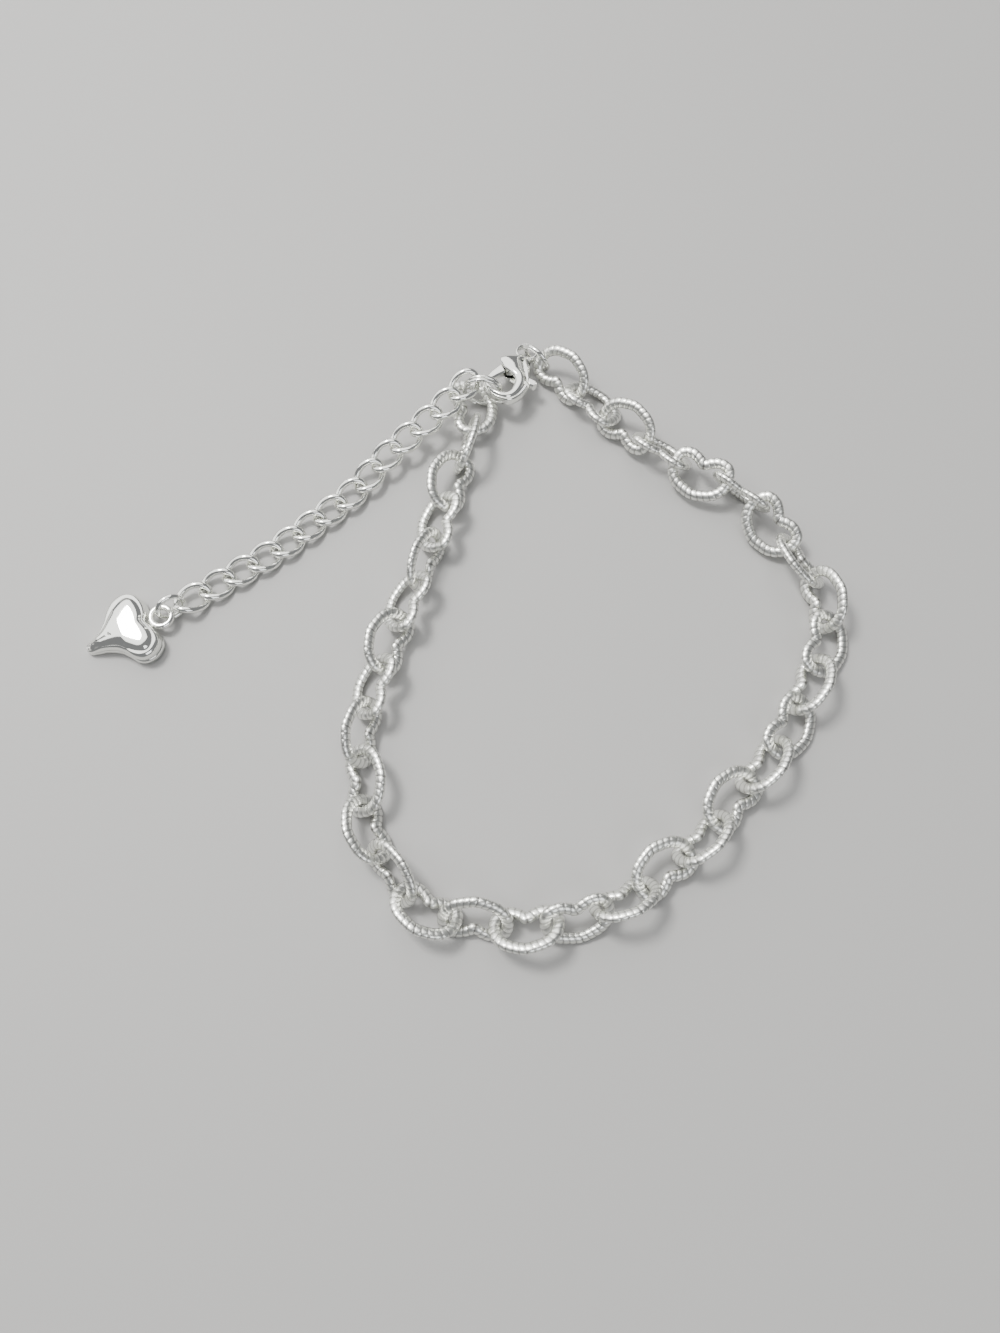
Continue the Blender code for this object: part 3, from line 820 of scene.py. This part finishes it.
@dataclass
class WireRing:
    """A ring of round wire, coiled once or more. Where it is coiled twice, the wire steps from one
    turn to the next in the crossing, given as shares of its length."""

    node: str
    metal: bpy.types.Material
    radius: float
    wire: float
    turns: float = 0.992
    start: float = 0.0
    pitch: float = 0.0
    crossing: tuple[float, float] = (0.42, 0.58)
    samples: int = 150
    sides: int = 16

    def build(self) -> bpy.types.Object:
        """Makes the ring where its CAD node lies.

        Returns:
            The finished piece.
        """
        tree = ShapeTree(f"{self.node} coil")
        radius = tree.size("Ring radius", self.radius)
        wire = tree.size("Wire radius", self.wire / 2)
        turns = tree.size("Turns", self.turns)
        pitch = tree.size("Step between turns", self.pitch)
        samples = tree.size("Samples", self.samples)
        sides = tree.size("Wire sides", self.sides)
        line = tree.node("GeometryNodeCurvePrimitiveLine", {}, {})
        fine = tree.node("GeometryNodeResampleCurve", {}, {"Curve": line.outputs[0], "Count": samples})
        along = tree.node("GeometryNodeSplineParameter", {}, {}).outputs["Factor"]
        wound = tree.math("MULTIPLY", tree.math("MULTIPLY", along, turns), 2 * math.pi)
        turn = tree.math("ADD", wound, self.start)
        share = tree.node("ShaderNodeMapRange", {"interpolation_type": "SMOOTHSTEP"}, {
            "Value": along, "From Min": self.crossing[0], "From Max": self.crossing[1],
            "To Min": -0.5, "To Max": 0.5,
        })
        place = tree.node("ShaderNodeCombineXYZ", {}, {
            0: tree.math("MULTIPLY", radius, tree.math("COSINE", turn)),
            1: tree.math("MULTIPLY", radius, tree.math("SINE", turn)),
            2: tree.math("MULTIPLY", pitch, share.outputs[0]),
        })
        bent = tree.node("GeometryNodeSetPosition", {},
                         {"Geometry": fine.outputs[0], "Position": place.outputs[0]})
        ring = tree.tube(bent.outputs[0], wire, sides, True)
        tree.finish(tree.source.outputs[0], ring, self.metal)
        middle, axes, _ = node_axes(self.node)
        piece = tree.grow(f"{self.node}_wire", seat_mesh(self.node, [(middle, axes)], []))
        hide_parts(self.node)
        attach(piece, "bracelet")
        return piece


@dataclass
class LobsterClasp:
    """The lobster clasp's body: a claw with a ridged face, its eye and its pin. Its own frame has
    the eye at the origin, +X along the claw and +Y towards the lever."""

    metal: bpy.types.Material
    reach: float = 8.7
    span: float = 5.3
    thickness: float = 2.2
    eye_radius: float = 1.45
    eye_hole: float = 1.0
    eye_thickness: float = 0.8
    pivot: tuple[float, float] = (2.95, 1.35)
    heading: float = math.radians(-106)
    lever: float = 0.9
    fit: float = 0.2
    hub: float = 0.95
    tab: float = 4.3
    slot_share: float = 0.65
    pin: float = 0.35
    row_steps: int = 7
    eye_steps: int = 56
    eye_sides: int = 20
    pin_steps: int = 20
    merge: float = 0.0005
    crease: float = math.radians(42)

    def place(self) -> Matrix:
        """The clasp's own frame, read from its joint's axis and the direction of its claw.

        Returns:
            The frame in metres, with the eye's middle at its origin.
        """
        joint = frame["record"]["behaviour"]["joints"][0]
        normal = -Vector(joint["axis"]).normalized()
        along = Vector((math.cos(self.heading), math.sin(self.heading), 0.0))
        along = (along - normal * along.dot(normal)).normalized()
        across = normal.cross(along)
        place = Matrix((along, across, normal)).transposed().to_4x4()
        place.translation = (Vector(joint["pos_m"]) - along * self.pivot[0] * MM
                             - across * self.pivot[1] * MM)
        return place

    def claw_rows(self) -> np.ndarray:
        """The claw's sections from its tip to the eye.

        Returns:
            For each, the inner point, the outer point and the thickness, in millimetres.
        """
        shares = np.array([
            (0.747, 0.585, 0.776, 0.683, 0.44), (0.790, 0.500, 0.868, 0.617, 0.58),
            (0.841, 0.406, 0.943, 0.440, 0.63), (0.879, 0.264, 1.000, 0.202, 0.66),
            (0.870, 0.123, 0.984, -0.047, 0.70), (0.800, 0.025, 0.864, -0.217, 0.74),
            (0.657, 0.009, 0.693, -0.311, 0.83), (0.566, 0.066, 0.561, -0.306, 0.92),
            (0.509, 0.198, 0.458, -0.283, 1.00), (0.446, 0.349, 0.378, -0.255, 1.00),
            (0.364, 0.462, 0.298, -0.217, 1.00), (0.304, 0.538, 0.229, -0.179, 0.95),
            (0.244, 0.494, 0.183, -0.160, 0.86), (0.172, 0.340, 0.149, -0.142, 0.68),
            (0.117, 0.190, 0.109, -0.104, 0.45), (0.080, 0.085, 0.080, -0.065, 0.36),
        ])
        scale = np.array([self.reach, self.span, self.reach, self.span, self.thickness])
        return smooth_rows(shares * scale, self.row_steps)

    def face_profile(self) -> list[tuple[float, float]]:
        """The claw's cross-section, upper half: a broad face, a cut line and a thin outer rim.

        Returns:
            Shares of the width from the inner side, and of half the thickness.
        """
        return [(0.0, 0.0), (0.0, 0.42), (0.03, 0.66), (0.09, 0.84), (0.19, 0.95), (0.33, 1.0),
                (0.47, 0.99), (0.56, 0.94), (0.62, 0.83), (0.67, 0.70), (0.72, 0.62), (0.77, 0.61),
                (0.82, 0.66), (0.88, 0.68), (0.94, 0.60), (0.98, 0.44), (1.0, 0.22), (1.0, 0.0)]

    def claw(self) -> bpy.types.Object:
        """Lofts the claw through its sections.

        Returns:
            A closed mesh object, in millimetres.
        """
        upper = self.face_profile()
        outline = upper + [(across, -up) for across, up in reversed(upper[1:-1])]
        work = bmesh.new()
        rings = []
        for row in self.claw_rows():
            near, far = Vector((row[0], row[1], 0)), Vector((row[2], row[3], 0))
            half = row[4] / 2
            rings.append([work.verts.new(near.lerp(far, across) + Vector((0, 0, up * half)))
                          for across, up in outline])
        for ring, following in zip(rings[:-1], rings[1:]):
            bridge(work, ring, following)
        work.faces.new(rings[0])
        work.faces.new(rings[-1])
        return self.helper("claw", work)

    def helper(self, name: str, work: bmesh.types.BMesh) -> bpy.types.Object:
        """Turns mesh work into an object.

        Args:
            name: The object's name.
            work: The mesh work, which is freed.

        Returns:
            The new object.
        """
        bmesh.ops.recalc_face_normals(work, faces=work.faces)
        mesh = bpy.data.meshes.new(name)
        work.to_mesh(mesh)
        work.free()
        item = bpy.data.objects.new(name, mesh)
        bpy.context.scene.collection.objects.link(item)
        return item

    def ring(self, outline: list[tuple[float, float]], place: Vector, sides: int) -> bmesh.types.BMesh:
        """Turns a closed outline round the Z axis.

        Args:
            outline: Radius and height of its points, in millimetres.
            place: Where the ring's middle is.
            sides: Steps round the ring.

        Returns:
            The mesh work.
        """
        work = bmesh.new()
        rings = []
        for step in range(sides):
            turn = 2 * math.pi * step / sides
            aim = (math.cos(turn), math.sin(turn))
            rings.append([work.verts.new(place + Vector((radius * aim[0], radius * aim[1], height)))
                          for radius, height in outline])
        for index, ring in enumerate(rings):
            bridge(work, ring, rings[(index + 1) % sides])
        return work

    def eye_outline(self) -> list[tuple[float, float]]:
        """The eye's oval cross-section.

        Returns:
            Radius and height of its points, in millimetres.
        """
        middle, half = (self.eye_radius + self.eye_hole) / 2, (self.eye_radius - self.eye_hole) / 2
        turns = [2 * math.pi * step / self.eye_sides for step in range(self.eye_sides)]
        return [(middle + half * math.cos(t), self.eye_thickness / 2 * math.sin(t)) for t in turns]

    def pin_outline(self) -> list[tuple[float, float]]:
        """The pin's outline with its two domed heads.

        Returns:
            Radius and height of its points, in millimetres.
        """
        return [(0.0, 1.02), (0.18, 1.0), (0.32, 0.92), (self.pin, 0.82), (self.pin, -0.82),
                (0.32, -0.92), (0.18, -1.0), (0.0, -1.02)]

    def cut_slot(self, claw: bpy.types.Object) -> bpy.types.Mesh:
        """Cuts the lever's slot through the claw.

        Args:
            claw: The claw, which is removed.

        Returns:
            The cut claw's mesh, in millimetres.
        """
        slot = self.lever / 2 + self.fit
        low = Vector((self.pivot[0] - self.hub - self.fit, -self.span, -slot))
        high = Vector((self.pivot[0] + self.tab * self.slot_share, self.span, slot))
        work = bmesh.new()
        place = Matrix.Translation((low + high) / 2) @ Matrix.Diagonal(high - low).to_4x4()
        bmesh.ops.create_cube(work, size=1.0, matrix=place)
        cutter = self.helper("lever slot", work)
        step = claw.modifiers.new("slot", "BOOLEAN")
        step.operation = "DIFFERENCE"
        step.solver = "EXACT"
        step.object = cutter
        deps = bpy.context.evaluated_depsgraph_get()
        cut = bpy.data.meshes.new_from_object(claw.evaluated_get(deps), depsgraph=deps)
        bpy.data.objects.remove(claw)
        bpy.data.objects.remove(cutter)
        return cut

    def build(self) -> bpy.types.Object:
        """Makes the clasp's body where its CAD node lies.

        Returns:
            The finished piece.
        """
        whole = bmesh.new()
        whole.from_mesh(self.cut_slot(self.claw()))
        eye = self.ring(self.eye_outline(), Vector((0, 0, 0)), self.eye_steps)
        pin = self.ring(self.pin_outline(), Vector((self.pivot[0], self.pivot[1], 0)), self.pin_steps)
        for part in (eye, pin):
            bmesh.ops.remove_doubles(part, verts=part.verts, dist=self.merge)
            bmesh.ops.recalc_face_normals(part, faces=part.faces)
            mesh = bpy.data.meshes.new("part")
            part.to_mesh(mesh)
            part.free()
            whole.from_mesh(mesh)
        whole.transform(self.place() @ Matrix.Scale(MM, 4))
        body = bpy.data.meshes.new("clasp_claw")
        whole.to_mesh(body)
        whole.free()
        body.shade_smooth()
        body.set_sharp_from_angle(angle=self.crease)
        piece = plain_object("clasp_claw", body, self.metal)
        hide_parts("clasp_body")
        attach(piece, "bracelet")
        return piece


def held(value: float) -> float:
    """A share kept between 0 and 1."""
    return min(1.0, max(0.0, value))


@dataclass
class PuffedCharm:
    """The puffed heart charm with its curved tail and eye. Its own frame has the eye at the
    origin, +X towards the tail and Z up from the surface. Its slopes thin it towards the tail: each
    row has the share that is lost, where the slope starts, and its length."""

    metal: bpy.types.Material
    eye_place: tuple[float, float] = (-0.033927, 0.000175)
    heading: float = math.radians(-155)
    thickness: float = 2.7
    slopes: tuple[tuple[float, float, float], ...] = ((0.34, 4.4, 3.6), (0.24, 7.2, 1.6))
    lobe_middle: float = 2.75
    lobe_spread: float = 0.44
    lobe_end: float = 5.4
    lobe_run: float = 2.9
    crest_end: float = 8.3
    eye_radius: float = 1.14
    eye_wire: float = 0.72
    eye_height: float = 1.35
    outline_steps: int = 6
    eye_steps: int = 48
    eye_sides: int = 16
    merge: float = 0.02

    def outline(self) -> list[Vector]:
        """The heart's outline, smooth from point to point.

        Returns:
            Its points in plan, in millimetres.
        """
        chosen = (
            (8.70, -0.46), (8.23, -0.62), (7.35, -0.86), (6.60, -1.36), (5.83, -2.25), (5.26, -3.20),
            (4.56, -3.92), (3.62, -4.28), (2.70, -4.26), (1.86, -3.80), (1.33, -3.00), (1.12, -2.00),
            (1.22, -1.00), (1.62, -0.10), (1.22, 0.85), (0.86, 1.90), (0.88, 2.90), (1.42, 3.64),
            (2.25, 4.14), (3.29, 4.18), (4.14, 3.65), (4.80, 2.73), (5.60, 1.86), (6.76, 1.20),
            (7.83, 0.86), (8.58, 0.56), (8.92, 0.06),
        )
        points = [Vector((along, across, 0.0)) for along, across in chosen]
        return smooth_loop(points, self.outline_steps)

    def crown(self, point: Vector) -> Vector:
        """Where the surface rises to from a point of the outline.

        Args:
            point: The outline's point.

        Returns:
            The matching point on the heart's crest.
        """
        share = held((self.lobe_end - point.x) / self.lobe_run)
        lobe = share * share * (3 - 2 * share)
        along = min(self.crest_end, max(self.lobe_middle, point.x))
        return Vector((along, point.y * self.lobe_spread * lobe, 0.0))

    def slim(self, point: Vector) -> float:
        """How much of the full thickness is left at a point of the outline.

        Args:
            point: The outline's point.

        Returns:
            The share, 0 to 1.
        """
        left = 1.0
        for lost, start, length in self.slopes:
            left -= lost * held((point.x - start) / length)
        return left

    def profile(self) -> list[tuple[float, float]]:
        """Steps from the underside round the edge to the crest.

        Returns:
            Shares of the way in from the outline, and of the thickness.
        """
        return [(1.0, 0.0), (0.5, 0.0), (0.16, 0.0), (0.05, 0.02), (0.01, 0.08), (0.0, 0.17), (0.005, 0.27),
                (0.03, 0.335), (0.07, 0.36), (0.095, 0.385), (0.08, 0.42), (0.045, 0.47), (0.035, 0.54),
                (0.05, 0.62), (0.09, 0.70), (0.15, 0.77), (0.22, 0.81), (0.28, 0.82), (0.34, 0.825),
                (0.41, 0.86), (0.50, 0.92), (0.60, 0.96), (0.72, 0.985), (0.86, 0.998), (1.0, 1.0)]

    def build(self) -> bpy.types.Object:
        """Makes the charm where its CAD node lies.

        Returns:
            The finished piece.
        """
        outline = self.outline()
        work = bmesh.new()
        loops = []
        for inward, up in self.profile():
            loop = []
            for point in outline:
                place = point.lerp(self.crown(point), inward)
                place.z = up * self.thickness * self.slim(point)
                loop.append(work.verts.new(place))
            loops.append(loop)
        for loop, following in zip(loops[:-1], loops[1:]):
            bridge(work, loop, following)
        bmesh.ops.remove_doubles(work, verts=work.verts, dist=self.merge)
        self.close(work)
        bmesh.ops.recalc_face_normals(work, faces=work.faces)
        self.add_eye(work)
        turn = Matrix.Rotation(self.heading, 4, "Z")
        place = Matrix.Translation((self.eye_place[0], self.eye_place[1], 0.0)) @ turn
        work.transform(place @ Matrix.Scale(MM, 4))
        mesh = bpy.data.meshes.new("puffed_heart")
        work.to_mesh(mesh)
        work.free()
        mesh.shade_smooth()
        piece = plain_object("puffed_heart", mesh, self.metal)
        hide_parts("heart_charm")
        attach(piece, "bracelet")
        return piece

    def close(self, work: bmesh.types.BMesh) -> None:
        """Fills what is still open along the crest.

        Args:
            work: The mesh work.
        """
        open_edges = [edge for edge in work.edges if len(edge.link_faces) == 1]
        if open_edges:
            bmesh.ops.holes_fill(work, edges=open_edges, sides=0)
        bmesh.ops.triangulate(work, faces=[face for face in work.faces if len(face.verts) > 4])

    def add_eye(self, work: bmesh.types.BMesh) -> None:
        """Adds the charm's soldered eye.

        Args:
            work: The mesh work.
        """
        rings = []
        for step in range(self.eye_steps):
            turn = 2 * math.pi * step / self.eye_steps
            ring = []
            for side in range(self.eye_sides):
                lean = 2 * math.pi * side / self.eye_sides
                radius = self.eye_radius + self.eye_wire / 2 * math.cos(lean)
                height = self.eye_height + self.eye_wire / 2 * math.sin(lean)
                ring.append(work.verts.new((radius * math.cos(turn), radius * math.sin(turn), height)))
            rings.append(ring)
        for index, ring in enumerate(rings):
            following = rings[(index + 1) % self.eye_steps]
            for side in range(self.eye_sides):
                after = (side + 1) % self.eye_sides
                work.faces.new((ring[side], following[side], following[after], ring[after]))


@dataclass(frozen=True)
class SoftLight:
    """A soft square light that faces the bracelet, with its place and side in metres."""

    name: str
    place: tuple[float, float, float]
    side: float
    watts: float
    colour: tuple[float, float, float]

    def build(self) -> None:
        """Adds the light to the scene."""
        data = bpy.data.lights.new(self.name, "AREA")
        data.size = self.side
        data.energy = self.watts
        data.color = self.colour
        item = bpy.data.objects.new(self.name, data)
        item.location = self.place
        item.rotation_euler = (-Vector(self.place)).to_track_quat("-Z", "Y").to_euler()
        bpy.context.scene.collection.objects.link(item)


@dataclass
class Studio:
    """The pale table, the soft lights, the even light all round and the camera."""

    table: TableTop
    lights: tuple[SoftLight, ...] = (
        SoftLight("panel", (-0.26, 0.32, 0.52), 1.16, 9.6, (1.0, 0.995, 0.98)),
        SoftLight("key", (-0.20, 0.16, 0.44), 0.12, 2.8, (1.0, 0.99, 0.965)),
        SoftLight("fill", (0.22, -0.40, 0.38), 0.36, 1.0, (0.96, 0.98, 1.0)),
    )
    half_side: float = 2.0
    air: tuple[float, float, float, float] = (0.42, 0.425, 0.44, 1.0)
    air_strength: float = 0.55
    lens: float = 27.0
    sensor: float = 36.0
    nearest: float = 0.002
    farthest: float = 20.0
    tilt: float = math.radians(18)
    stand: tuple[float, float, float] = (0.003726, -0.039431, 0.1053)

    def build(self) -> None:
        """Sets up everything round the bracelet."""
        mesh = bpy.data.meshes.new("table")
        side = self.half_side
        corners = [(-side, -side, 0), (side, -side, 0), (side, side, 0), (-side, side, 0)]
        mesh.from_pydata(corners, [], [(0, 1, 2, 3)])
        plain_object("table", mesh, self.table.build())
        for light in self.lights:
            light.build()
        world = bpy.data.worlds.new("studio")
        world.use_nodes = True
        background = world.node_tree.nodes["Background"]
        background.inputs["Color"].default_value = self.air
        background.inputs["Strength"].default_value = self.air_strength
        bpy.context.scene.world = world
        data = bpy.data.cameras.new("camera")
        data.lens = self.lens
        data.sensor_width = self.sensor
        data.clip_start = self.nearest
        data.clip_end = self.farthest
        camera = bpy.data.objects.new("camera", data)
        camera.location = self.stand
        camera.rotation_euler = (self.tilt, 0.0, 0.0)
        bpy.context.scene.collection.objects.link(camera)
        bpy.context.scene.camera = camera


def report(piece: bpy.types.Object) -> None:
    """Logs a finished piece's size.

    Args:
        piece: The piece.
    """
    mesh = piece.data
    mesh.calc_loop_triangles()
    LOG.info("%s: %d points, %d triangles", piece.name, len(mesh.vertices), len(mesh.loop_triangles))


def main() -> None:
    """Builds the studio and every piece, in order."""
    logging.basicConfig(level=logging.INFO, format="%(name)s: %(message)s")
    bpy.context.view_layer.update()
    cut_silver = CutSilver().build()
    polished = PolishedSilver().build()
    Studio(TableTop()).build()
    report(HeartChain(cut_silver).build())
    report(ExtenderChain(polished).build())
    report(WireRing("clasp_jump_ring", polished, radius=1.75 * MM, wire=0.60 * MM, start=2.3).build())
    report(WireRing("split_ring", polished, radius=2.2 * MM, wire=0.46 * MM, turns=1.97, start=0.4,
                    pitch=0.46 * MM, samples=260).build())
    report(WireRing("charm_ring", polished, radius=1.5 * MM, wire=0.60 * MM, start=1.2).build())
    report(LobsterClasp(polished).build())
    lever = NODES["clasp_lever"]
    for slot in lever.material_slots:
        slot.material = polished
    report(lever)
    report(PuffedCharm(polished).build())


if __name__ == "__main__":
    main()
